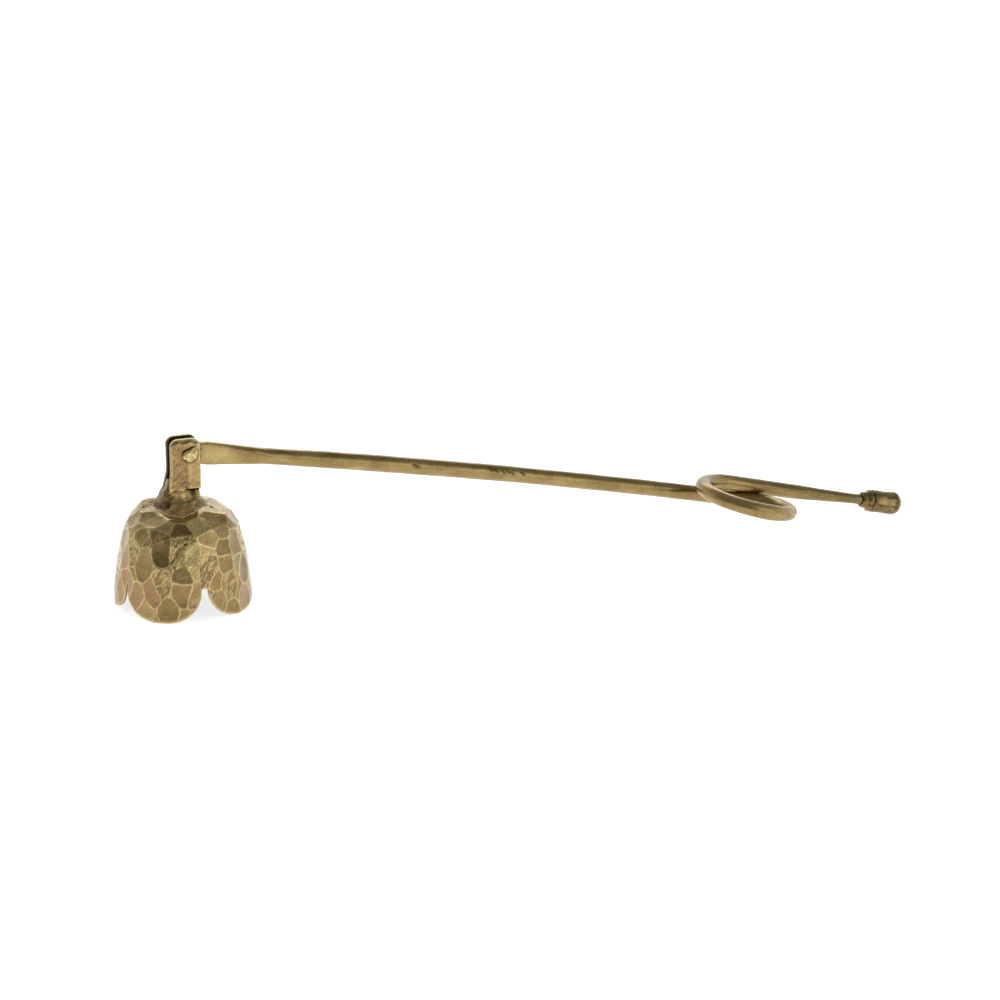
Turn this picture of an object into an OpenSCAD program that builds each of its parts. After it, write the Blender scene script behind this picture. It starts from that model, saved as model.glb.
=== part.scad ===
// Candle snuffer: a hammered tulip bell hung from a long handle by one riveted hinge.
// Frame: origin at the centre of the bell's mouth, on the plane that the petal tips stand on.
// +Z is up, +X runs along the handle towards its end knob, and the hinge pin lies along Y.

/* [Bell] */
// Diameter across the bell's mouth
mouth_d = 40.2; // [39:0.2:42]
// Height of the crown above the petal tips
bell_h = 29.5; // [29:0.1:30]
// Thickness of the hammered sheet
wall = 1.4; // [1.2:0.1:1.6]
// Number of petals round the mouth
petals = 5; // [4:1:6]
// Height of the notches between the petals
notch_h = 9.9; // [8:0.1:11]
// Width of a notch at its top
notch_w = 1.5; // [1:0.1:2]
// Direction of the first petal, turned about Z from +X
petal_turn = -123; // [-125:1:-121]

/* [Hinge fork] */
// Width of the fork along the handle
fork_w = 8.7; // [8:0.1:9]
// Thickness of the fork across both cheeks
fork_t = 6.4; // [6.4:0.1:6.8]
// Thickness of each cheek
cheek_t = 1.8; // [1.6:0.05:1.8]
// How far the fork's middle stands from the bell's axis
fork_x = 1.15; // [0.9:0.05:1.4]
// Height of the cheeks' tops
cheek_top = 49.4; // [49:0.1:50]
// Height of the cheeks' lower lips
cheek_bottom = 34.5; // [34:0.1:35]
// Height of the floor of the slot
slot_floor = 37.5; // [37:0.1:38]
// Radius of the cheeks' top corners
corner_r = 2.2; // [1.5:0.1:2.6]

/* [Hinge pin] */
// Distance of the pin from the bell's axis
pin_x = 2.5; // [2.3:0.05:2.7]
// Height of the pin
pin_z = 44.85; // [44.6:0.05:45]
// Diameter of the pin
pin_d = 2.8; // [2.6:0.1:3]
// Diameter of the peened heads
head_d = 4.6; // [4.4:0.1:4.8]
// Height of the peened heads
head_h = 0.8; // [0.6:0.1:1]

/* [Handle] */
// Diameter of the round rod
rod_d = 4.7; // [4.5:0.1:4.8]
// Height of the flat tongue that the pin passes through
tongue_h = 6.3; // [6.1:0.1:6.4]
// Thickness of the tongue
tongue_t = 2.6; // [2.4:0.05:2.6]
// Diameter of the rod where it enters the knob
tail_d = 3.2; // [3:0.1:3.4]
// Where the finger loop begins, measured from the bell's axis
loop_x = 170.4; // [169:0.2:172]
// Radius of the finger loop at the rod's centre
loop_r = 13.8; // [13.4:0.1:14]
// Rise of the tail over the shaft after one turn
loop_rise = 5.2; // [5.1:0.1:5.6]

/* [End knob] */
// Diameter of the knob
knob_d = 7; // [6.8:0.1:7.2]
// Length of the knob
knob_l = 13.7; // [13.2:0.1:14.2]
// Distance of the knob's middle from the bell's axis
knob_x = 223.9; // [223.3:0.2:224.5]

/* [Hidden] */

// Running fits
pin_gap = 0.06;      // radial, between the pin and the tongue that turns on it
rivet_gap = 0.02;    // radial, between the pin and the cheeks that it is riveted in
spigot_gap = 0.02;   // radial, between the post's spigot and the hole in the crown
side = 64;           // segments round a circle

brass = [0.60, 0.50, 0.32];
dark_brass = [0.48, 0.40, 0.26];
braze = [0.66, 0.52, 0.36];

// Bell
mouth_r = mouth_d / 2;
shoulder_r = mouth_r - 2.8;   // radius where the side turns in towards the crown
shoulder_z = bell_h - 8.7;    // height of that turn
crown_r = 7;          // radius of the flat on top of the crown
curve_steps = 12;     // points along each curve of an outline
tip_flat = 0.1;       // how much the petal tips are filed flat
petal_power = 2.1;    // roundness of the petals' outline

// Neck
spigot_d = 5;         // the part of the post that passes through the crown
spigot_head_d = 7.6;  // its peened end, under the crown
spigot_head_h = 1.1;
foot_r = 7.6;         // the post's flared foot, on the crown
foot_h = 3.8;
stem_t = 4.8;         // thickness of the post below the cheeks
web_t = fork_t - 2 * cheek_t;    // thickness of the post between the cheeks
braze_r = 10.4;       // reach and height of the filler metal round the foot
braze_h = 1.5;

// Handle: its centreline falls away from the pin on a gentle curve
fall = 0.158;         // slope at the bell's axis
droop = 0.000212;     // how fast the slope grows
axis_z = 45.25;       // height of the centreline above the bell's axis
loop_lift = 0.4;      // how far the near side of the loop is lifted
loop_drift = 2.1;     // sideways drift of the tail over the shaft
tail_sag = 0.25;      // how far the tail's middle hangs below a straight line
tongue_l = 5.5;       // length of the flat tongue from the pin
flat_end = 11;        // where the thin flat starts to widen, from the pin
flat_blend = 13;      // length over which it becomes round
taper_l = 24;         // length over which the tongue's height tapers to the rod
shaft_rings = 22;     // rings along the shaft, the loop and the tail
loop_rings = 42;
tail_rings = 9;
sides = 20;           // points round each ring
taper_start = 0.4;    // share of the tail that keeps the rod's full diameter

// Knob
knob_tilt = 12.5;     // slope of the knob's axis
socket_depth = 4.5;   // the hole that the rod's tail is fixed in
socket_gap = 0.05;
mouth_step = 0.9;     // how far the knob's neck ring is below its full radius
groove_x = 3.4;       // distance of the groove from the knob's neck
groove_w = 0.5;
groove_deep = 0.35;
knob_round = 2.4;     // radius of the knob's rounded end

// Point at t on a curve with ends a, d and handles b, c
function curve(a, b, c, d, t) =
    pow(1 - t, 3) * a + 3 * pow(1 - t, 2) * t * b + 3 * (1 - t) * t * t * c + t * t * t * d;

// Bell outline from the mouth to the flat of the crown, moved in by the sheet's thickness
function bell_side(inset) = [
    for (i = [0:curve_steps - 1])
        curve([mouth_r - inset, 0], [mouth_r + 0.1 - inset, 7], [mouth_r - 1.2 - inset, 14],
              [shoulder_r - inset, shoulder_z - 0.3 * inset], i / curve_steps),
    for (i = [0:curve_steps])
        curve([shoulder_r - inset, shoulder_z - 0.3 * inset],
              [shoulder_r - 1.1 - inset, bell_h - 3.9 - 0.8 * inset],
              [shoulder_r - 3.3 - inset, bell_h - 1.1 - inset], [crown_r, bell_h - inset], i / curve_steps)
];

module bell_solid(inset) {
    rotate_extrude($fn = 2 * side)
        polygon(concat([[0, 0]], bell_side(inset), [[0, bell_h - inset]]));
}

// Height of a petal's edge at angle a from the middle of the notch beside it
function petal_edge(a, half, gap) =
    a <= gap ? notch_h
        : notch_h * (1 - pow(1 - pow((half - a) / (half - gap), petal_power), 1 / petal_power));

module notch() {
    half = 180 / petals;
    gap = asin(notch_w / 2 / mouth_r);
    steps = 14;
    angles = [for (i = [0:steps]) gap + (half - gap) * pow(i / steps, 2)];
    edge = [for (a = angles) [mouth_r * sin(a), petal_edge(a, half, gap) - tip_flat]];
    mirrored = [for (i = [steps:-1:0]) [-edge[i][0], edge[i][1]]];
    rotate([90, 0, 90])
        linear_extrude(mouth_r + 2)
            polygon(concat([[-edge[steps][0], -1]], mirrored, edge, [[edge[steps][0], -1]]));
}

module bell() {
    color(brass)
        difference() {
            bell_solid(0);
            bell_solid(wall);
            translate([0, 0, -1])
                cylinder(h = 1.001, r = mouth_r - wall, $fn = 2 * side);
            for (i = [0:petals - 1])
                rotate(petal_turn + (i + 0.5) * 360 / petals)
                    notch();
            translate([0, 0, bell_h - 2 * wall])
                cylinder(h = 3 * wall, d = spigot_d + 2 * spigot_gap, $fn = side);
        }
}

// The flared foot of the post, as a solid of revolution
module foot() {
    flare = [for (i = [0:curve_steps])
        curve([foot_r, bell_h], [foot_r - 2, bell_h + 0.5], [foot_r - 3, bell_h + 1.6],
              [foot_r - 3.3, bell_h + foot_h], i / curve_steps)];
    rotate_extrude($fn = side)
        polygon(concat([[0, bell_h]], flare, [[0, bell_h + foot_h]]));
}

module block(width, thickness, low, high) {
    translate([fork_x - width / 2, -thickness / 2, low])
        cube([width, thickness, high - low]);
}

module neck_post() {
    under = bell_h - wall;
    color(brass)
        union() {
            foot();
            block(fork_w, stem_t, bell_h + 1.2, cheek_bottom);
            block(fork_w, web_t, cheek_bottom - 0.5, slot_floor);
            translate([0, 0, under - 0.1])
                cylinder(h = wall + 1, d = spigot_d, $fn = side);
            translate([0, 0, under])
                mirror([0, 0, 1])
                    peened_head(spigot_head_d, spigot_head_h);
        }
}

// A low dome on the plane z = 0
module peened_head(d, h) {
    arc = [for (i = [0:curve_steps]) [d / 2 * cos(90 * i / curve_steps), h * sin(90 * i / curve_steps)]];
    rotate_extrude($fn = side)
        polygon(concat([[0, 0]], arc));
}

// A cheek lies in the plane y = 0 and is cheek_t thick towards +Y
module cheek() {
    tall = cheek_top - cheek_bottom;
    difference() {
        translate([fork_x, cheek_t, cheek_bottom])
            rotate([90, 0, 0])
                linear_extrude(cheek_t)
                    union() {
                        translate([-fork_w / 2, 0])
                            square([fork_w, tall - corner_r]);
                        translate([-fork_w / 2 + corner_r, 0])
                            square([fork_w - 2 * corner_r, tall]);
                        for (s = [-1, 1])
                            translate([s * (fork_w / 2 - corner_r), tall - corner_r])
                                circle(corner_r, $fn = side);
                    }
        translate([pin_x, -1, pin_z])
            rotate([-90, 0, 0])
                cylinder(h = cheek_t + 2, d = pin_d + 2 * rivet_gap, $fn = side);
    }
}

module front_cheek() {
    color(brass)
        translate([0, -fork_t / 2, 0])
            cheek();
}

module rear_cheek() {
    color(brass)
        translate([0, fork_t / 2 - cheek_t, 0])
            cheek();
}

// Filler metal run in round the post's foot
module braze_fillet() {
    outer = [for (i = [0:curve_steps])
        curve([braze_r, bell_h - 0.7], [braze_r - 1.6, bell_h + 0.1], [foot_r - 1.6, bell_h + 0.6],
              [foot_r - 2.2, bell_h + braze_h], i / curve_steps)];
    color(braze)
        difference() {
            rotate_extrude($fn = side)
                polygon(concat([[crown_r - 4, bell_h - 1.5], [braze_r, bell_h - 1.5]], outer,
                               [[crown_r - 4, bell_h + braze_h]]));
            bell_solid(0);
            foot();
            cylinder(h = bell_h + foot_h, r = spigot_d / 2 + 1);
            block(fork_w, stem_t, bell_h, cheek_bottom);
        }
}

module hinge_pin() {
    color(dark_brass)
        translate([pin_x, 0, pin_z])
            rotate([90, 0, 0])
                union() {
                    translate([0, 0, -fork_t / 2 - 0.1])
                        cylinder(h = fork_t + 0.2, d = pin_d, $fn = side);
                    for (s = [0, 1])
                        mirror([0, 0, s])
                            translate([0, 0, fork_t / 2])
                                peened_head(head_d, head_h);
                }
}

// Handle centreline
function line_z(x) = axis_z - fall * x - droop * x * x;
loop_tilt = atan(fall + 2 * droop * loop_x);
ahead = [cos(loop_tilt), 0, -sin(loop_tilt)];
above = [sin(loop_tilt), 0, cos(loop_tilt)];
near = [0, -1, 0];
function loop_point(a) =
    [loop_x, 0, line_z(loop_x)] + loop_r * sin(a) * ahead
    + (loop_r * (1 - cos(a)) + loop_drift * a / 360) * near
    + (loop_rise * sin(a / 4) + loop_lift * (1 - cos(a)) / 2) * above;
loop_end = loop_point(360);

// The knob's far edge rests on the same plane as the petal tips
knob_z = knob_round + (knob_l / 2 - knob_round) * sin(knob_tilt)
    + (knob_d / 2 - knob_round) * cos(knob_tilt);
knob_mid = [knob_x, 0, knob_z];
knob_dir = [cos(knob_tilt), 0, -sin(knob_tilt)];
knob_mouth = knob_mid - (knob_l / 2 + 0.8) * knob_dir;
socket_end = knob_mid - (knob_l / 2 - socket_depth + 0.2) * knob_dir;

shaft_from = pin_x + tongue_l - 1;
shaft_step = (loop_x - shaft_from) / shaft_rings;
handle_line = [
    for (i = [0:shaft_rings - 1])
        let (x = shaft_from + shaft_step * i)
        [x, 0, line_z(x)],
    for (i = [0:loop_rings])
        loop_point(360 * i / loop_rings),
    for (i = [1:tail_rings])
        loop_end + (knob_mouth - loop_end) * i / tail_rings - [0, 0, tail_sag * sin(180 * i / tail_rings)],
    socket_end
];
rings = len(handle_line);

// 0 before a, 1 after b, and a smooth step between them
function blend(x, a, b) =
    let (t = min(1, max(0, (x - a) / (b - a))))
    t * t * (3 - 2 * t);

// Half height, half thickness and corner power of the rod at ring i
function section(i) =
    let (x = i < shaft_rings ? handle_line[i][0] - pin_x : 999)
    let (tail = max(0, i - rings + 2 + tail_rings) / tail_rings)
    let (r = (rod_d + (tail_d - rod_d) * blend(tail, taper_start, 1)) / 2)
    let (round = blend(x, flat_end, flat_end + flat_blend))
    [tongue_h / 2 + (r - tongue_h / 2) * blend(x, tongue_l - 4, taper_l),
     tongue_t / 2 - 0.02 + (r - tongue_t / 2 + 0.02) * round,
     7 - 5 * blend(x, flat_end - 4, flat_end + flat_blend)];

function unit(v) = v / norm(v);
function ring_points(i) =
    let (p = handle_line[i])
    let (ahead_i = unit(handle_line[min(i + 1, rings - 1)] - handle_line[max(i - 1, 0)]))
    let (side_i = unit(cross(ahead_i, above)))
    let (up_i = cross(side_i, ahead_i))
    let (s = section(i))
    [for (k = [0:sides - 1])
        let (c = cos(360 * k / sides))
        let (n = sin(360 * k / sides))
        p + side_i * s[1] * sign(c) * pow(abs(c), 2 / s[2])
        + up_i * s[0] * sign(n) * pow(abs(n), 2 / s[2])];

module swept_rod() {
    points = [for (i = [0:rings - 1]) each ring_points(i)];
    walls = [for (i = [0:rings - 2], k = [0:sides - 1])
        let (m = (k + 1) % sides)
        [i * sides + k, i * sides + m, (i + 1) * sides + m, (i + 1) * sides + k]];
    first = [for (k = [sides - 1:-1:0]) k];
    last = [for (k = [0:sides - 1]) (rings - 1) * sides + k];
    polyhedron(points, concat(walls, [first, last]));
}

module handle_rod() {
    slope = atan(fall + 2 * droop * pin_x);
    color(brass)
        difference() {
            union() {
                swept_rod();
                translate([pin_x, tongue_t / 2, line_z(pin_x)])
                    rotate([90, slope, 0])
                        linear_extrude(tongue_t)
                            union() {
                                circle(tongue_h / 2, $fn = side);
                                translate([0, -tongue_h / 2])
                                    square([tongue_l, tongue_h]);
                            }
            }
            translate([pin_x, -tongue_t, pin_z])
                rotate([-90, 0, 0])
                    cylinder(h = 2 * tongue_t, d = pin_d + 2 * pin_gap, $fn = side);
        }
}

module end_knob() {
    r = knob_d / 2;
    half = knob_l / 2;
    neck_r = r - mouth_step;
    neck_arc = [for (i = [0:curve_steps / 2]) let (a = 90 * i / (curve_steps / 2))
        [neck_r - 0.8 + 0.8 * sin(a), 0.8 - 0.8 * cos(a)]];
    end_arc = [for (i = [0:curve_steps]) let (a = 90 * i / curve_steps)
        [r - knob_round + knob_round * cos(a), knob_l - knob_round + knob_round * sin(a)]];
    outline = concat([[0, 0]], neck_arc,
        [[neck_r, 1.6], [r - 0.1, 2.6], [r, groove_x - groove_w / 2],
         [r - groove_deep, groove_x - groove_w / 4], [r - groove_deep, groove_x + groove_w / 4],
         [r, groove_x + groove_w / 2]],
        end_arc, [[0, knob_l]]);
    color(dark_brass)
        translate(knob_mid)
            rotate([0, 90 + knob_tilt, 0])
                translate([0, 0, -half])
                    difference() {
                        rotate_extrude($fn = side)
                            polygon(outline);
                        translate([0, 0, -1])
                            cylinder(h = socket_depth + 1, d = tail_d + 2 * socket_gap, $fn = side);
                    }
}

bell();
neck_post();
front_cheek();
rear_cheek();
braze_fillet();
hinge_pin();
handle_rod();
end_knob();
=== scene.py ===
"""Looks of the hinged candle snuffer: a hammered tulip bell, a riveted fork and a looped handle.

Shapes are worked out in millimetres in the row frame, on the CAD model's own sizes, and become
metres when their meshes are made.
"""

import math

import bmesh
import bpy
import numpy as np
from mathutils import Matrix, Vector


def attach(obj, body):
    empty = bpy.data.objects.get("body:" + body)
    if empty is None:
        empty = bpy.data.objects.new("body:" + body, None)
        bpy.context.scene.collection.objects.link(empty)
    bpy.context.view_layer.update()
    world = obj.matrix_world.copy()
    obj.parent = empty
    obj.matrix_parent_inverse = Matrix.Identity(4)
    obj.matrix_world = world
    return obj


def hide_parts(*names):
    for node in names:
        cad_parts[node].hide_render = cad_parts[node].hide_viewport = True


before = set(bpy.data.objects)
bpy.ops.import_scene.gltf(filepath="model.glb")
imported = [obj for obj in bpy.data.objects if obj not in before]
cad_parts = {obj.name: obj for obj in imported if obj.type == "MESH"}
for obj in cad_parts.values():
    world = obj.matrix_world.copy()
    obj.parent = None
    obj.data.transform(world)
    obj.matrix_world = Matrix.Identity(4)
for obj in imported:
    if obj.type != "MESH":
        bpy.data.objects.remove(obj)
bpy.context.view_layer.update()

MM = 0.001

# Sizes of the CAD model
MOUTH_R = 20.1
SHOULDER = (17.3, 20.8)
CROWN_R = 7.0
BELL_H = 29.5
WALL = 1.4
NOTCH_H = 9.9
TIP_FLAT = 0.1
SPIGOT_R = 2.5
FOOT_R = 7.6
FORK_X = 1.15
FORK_W = 8.7
FORK_T = 6.4
CHEEK_T = 1.8
CHEEK_BOTTOM = 34.5
CHEEK_TOP = 49.4
SLOT_FLOOR = 37.5
CORNER_R = 2.2
PIN_X = 2.5
PIN_Z = 44.85
PIN_R = 1.4
BORE_GAP = 0.06
ROD_R = 2.35
TAIL_R = 1.6
TAIL_SAG = 0.25
TONGUE = (3.15, 1.3)
FALL, DROOP, AXIS_Z = 0.158, 0.000212, 45.25
LOOP_X, LOOP_R, LOOP_RISE, LOOP_LIFT, LOOP_DRIFT = 170.4, 13.8, 5.2, 0.4, 2.1
KNOB_R, KNOB_L, KNOB_X, KNOB_ROUND = 3.5, 13.7, 223.9, 2.4
KNOB_TILT = math.radians(12.5)


# ---------------------------------------------------------------- shape helpers


def step(x, low, high):
    """0 below low, 1 above high and a smooth step between them."""
    t = clipped((np.asarray(x, float) - low) / (high - low))
    return t * t * (3 - 2 * t)


def hump(x, a, b, c, d):
    """0 before a, rising to 1 at b, then falling from c to 0 at d."""
    return step(x, a, b) * (1 - step(x, c, d))


def bezier(points, steps):
    """A cubic curve through the first and last of four points, as an array of points."""
    a, b, c, d = (np.array(p, float) for p in points)
    t = np.linspace(0, 1, steps)[:, None]
    return (1 - t) ** 3 * a + 3 * (1 - t) ** 2 * t * b + 3 * (1 - t) * t**2 * c + t**3 * d


def unit(v):
    """Vectors made one long."""
    return v / np.maximum(np.linalg.norm(v, axis=-1, keepdims=True), 1e-9)


def fade(gap, width):
    """1 where the gap is 0, falling to nearly 0 at twice the width."""
    return np.exp(-((gap / width) ** 2))


def clipped(x):
    """x kept between 0 and 1."""
    return np.clip(x, 0, 1)


def full_turn(count):
    """Evenly spaced angles once round, in radians."""
    return np.linspace(0, 2 * math.pi, count, endpoint=False)


def squared(wave, power):
    """A cosine or sine made squarer: round at power 2, nearly square at 9."""
    return np.sign(wave) * np.abs(wave) ** (2 / power)


def distances(path):
    """Distance along a path to each of its points."""
    return np.concatenate([[0], np.cumsum(np.linalg.norm(np.diff(path, axis=0), axis=1))])


def lumps(points, size, seed):
    """Smooth unevenness about size across, from about -1 to 1, at each point."""
    rng = np.random.default_rng(seed)
    total = np.zeros(points.shape[:-1])
    for _ in range(14):
        heading = unit(rng.normal(size=3))
        pitch = size * rng.uniform(0.7, 1.7)
        total += np.sin(points @ heading * (2 * math.pi / pitch) + rng.uniform(0, 2 * math.pi))
    return total / 4.2


def spot(points, centre, radius):
    """1 at the centre, falling smoothly to 0 at about twice the radius."""
    return fade(np.linalg.norm(points - np.array(centre, float), axis=-1), radius)


def groove(points, start, end, width):
    """1 on the straight line from start to end, falling to 0 at about twice the width from it."""
    a, b = np.array(start, float), np.array(end, float)
    along = clipped((points - a) @ (b - a) / np.dot(b - a, b - a))
    return fade(np.linalg.norm(points - (a + along[..., None] * (b - a)), axis=-1), width)


def pushed(points, depth):
    """A grid of rings round a core, moved outwards along its own normals by depth at each point."""
    around = np.roll(points, -1, axis=1) - np.roll(points, 1, axis=1)
    normals = unit(np.cross(around, np.gradient(points, axis=0)))
    from_core = points - points.mean(axis=1, keepdims=True)
    outward = np.sign(np.sum(normals * from_core))
    return points + normals * outward * depth[..., None]


def round_table(turn, table):
    """A smooth closed curve through (degrees, value) pairs, read at turn in radians."""
    stops = sorted(table)
    stops = [(stops[-1][0] - 360, stops[-1][1])] + stops + [(stops[0][0] + 360, stops[0][1])]
    degrees = (np.degrees(turn) - stops[1][0]) % 360 + stops[1][0]
    value = np.zeros_like(degrees)
    for (a, low), (b, high) in zip(stops, stops[1:]):
        between = low + (high - low) * step(degrees, a, b)
        value = np.where((degrees >= a) & (degrees <= b), between, value)
    return value


def added(name, data):
    """A new object in the scene."""
    thing = bpy.data.objects.new(name, data)
    bpy.context.scene.collection.objects.link(thing)
    return thing


def ring_mesh(name, points, wrap_rows=False, **marks):
    """A closed mesh on a grid of points whose columns run round it, in millimetres.

    Its rows join up into a ring too, or its two ends are capped. marks holds one value per
    point for each name that the materials read, for worn edges, soiling, tone, blush and, where it
    is, scuffing; the marks for worn edges and tone carry painted highlights too, and those for
    soiling and tone painted shade.
    """
    rows, cols = points.shape[:2]
    index = np.arange(rows * cols).reshape(rows, cols)
    ahead = np.roll(index, -1, axis=0)
    quads = np.stack([index, np.roll(index, -1, axis=1), np.roll(ahead, -1, axis=1), ahead], axis=-1)
    quads = (quads if wrap_rows else quads[:-1]).reshape(-1, 4).tolist()
    verts = points.reshape(-1, 3)
    values = {key: np.broadcast_to(mark, (rows, cols)).reshape(-1) for key, mark in marks.items()}
    if not wrap_rows:
        for end in (0, rows - 1):
            middle = len(verts)
            verts = np.vstack([verts, points[end].mean(axis=0)])
            ring = index[end].tolist()
            quads += [(a, b, middle) for a, b in zip(ring, ring[1:] + ring[:1])]
            values = {k: np.append(v, v[index[end]].mean()) for k, v in values.items()}
    mesh = bpy.data.meshes.new(name)
    mesh.from_pydata((verts * MM).tolist(), [], quads)
    for key, value in values.items():
        layer = mesh.attributes.new(key, "FLOAT", "POINT")
        layer.data.foreach_set("value", np.ascontiguousarray(value, dtype=np.float32))
    shell = bmesh.new()
    shell.from_mesh(mesh)
    bmesh.ops.recalc_face_normals(shell, faces=shell.faces)
    shell.to_mesh(mesh)
    shell.free()
    mesh.polygons.foreach_set("use_smooth", np.ones(len(mesh.polygons), bool))
    mesh.update()
    return added(name, mesh)


def place(thing, material, body, node):
    """Gives a piece its material, ties it to its CAD body and hides the CAD node that it stands for.
    """
    thing.data.materials.clear()
    thing.data.materials.append(material)
    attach(thing, body)
    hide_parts(node)


# ---------------------------------------------------------------- materials


class Nodes:
    """Adds nodes to a tree with short calls."""

    def __init__(self, tree):
        self.tree = tree

    def node(self, kind, inputs=(), **settings):
        """A new node, with its settings and the numbers or links of some of its inputs."""
        node = self.tree.nodes.new("ShaderNode" + kind)
        for setting, value in settings.items():
            setattr(node, setting, value)
        for key, value in dict(inputs).items():
            self.put(value, node.inputs[key])
        return node

    def put(self, value, socket):
        if isinstance(value, bpy.types.NodeSocket):
            self.tree.links.new(value, socket)
        else:
            socket.default_value = value

    def blend(self, factor, a, b, kind="MIX"):
        inputs = {0: factor, 6: a, 7: b}
        return self.node("Mix", inputs, data_type="RGBA", blend_type=kind).outputs[2]

    def ramp(self, value, low, high, to_low=0.0, to_high=1.0):
        inputs = dict(enumerate((value, low, high, to_low, to_high)))
        return self.node("MapRange", inputs, interpolation_type="SMOOTHSTEP").outputs[0]


class Shades(Nodes):
    """Builds one material."""

    def __init__(self, name):
        self.material = bpy.data.materials.new(name)
        self.material.use_nodes = True
        super().__init__(self.material.node_tree)
        self.shader = self.tree.nodes["Principled BSDF"]
        space = self.node("TexCoord").outputs["Object"]
        in_mm = self.node("VectorMath", {0: space, "Scale": 1 / MM}, operation="SCALE")
        self.place_mm = in_mm.outputs[0]

    def cover(self, amount, paint, kind="MIX"):
        """Lays a paint over the colour so far."""
        self.tint = self.blend(amount, self.tint, paint, kind)

    def shade(self, **inputs):
        """Sets inputs of the shader, with _ for the spaces in their names."""
        for key, value in inputs.items():
            self.put(value, self.shader.inputs[key.replace("_", " ")])

    def mark(self, name):
        return self.node("Attribute", attribute_name=name).outputs["Fac"]

    def stretched(self, turn, length):
        """Places measured along turned axes, drawn out along each of them by a length."""
        inputs = {"Vector": self.place_mm, "Rotation": turn, "Scale": length}
        return self.node("Mapping", inputs, vector_type="TEXTURE").outputs["Vector"]

    def noise(self, size, detail=4.0, rough=0.55, warp=0.0, vector=None):
        inputs = {"Vector": vector or self.place_mm, "Scale": 1 / size, "Detail": detail,
                  "Roughness": rough, "Distortion": warp}
        return self.node("TexNoise", inputs).outputs["Fac"]

    def maths(self, operation, a, b=0.0, c=0.0):
        return self.node("Math", {0: a, 1: b, 2: c}, operation=operation).outputs[0]

    def times(self, a, b):
        return self.maths("MULTIPLY", a, b)

    def bump(self, height, distance, strength=1.0, under=None):
        inputs = {"Strength": strength, "Distance": distance * MM, "Height": height}
        if under is not None:
            inputs["Normal"] = under
        return self.node("Bump", inputs).outputs["Normal"]


def colour(red, green, blue):
    return (red, green, blue, 1.0)


# The deep colour lays stains and painted shade, the bright one worn edges and painted highlights, and
# the near-black one soiling and painted shade.
DEEP = colour(0.11, 0.073, 0.02)
BRIGHT = colour(0.72, 0.58, 0.26)
TAN = colour(0.34, 0.185, 0.065)
OLIVE = colour(0.25, 0.205, 0.055)
PINK = colour(0.335, 0.19, 0.095)
RUST = colour(0.33, 0.12, 0.035)
GRIME_AND_SHADE = colour(0.022, 0.014, 0.007)


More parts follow.
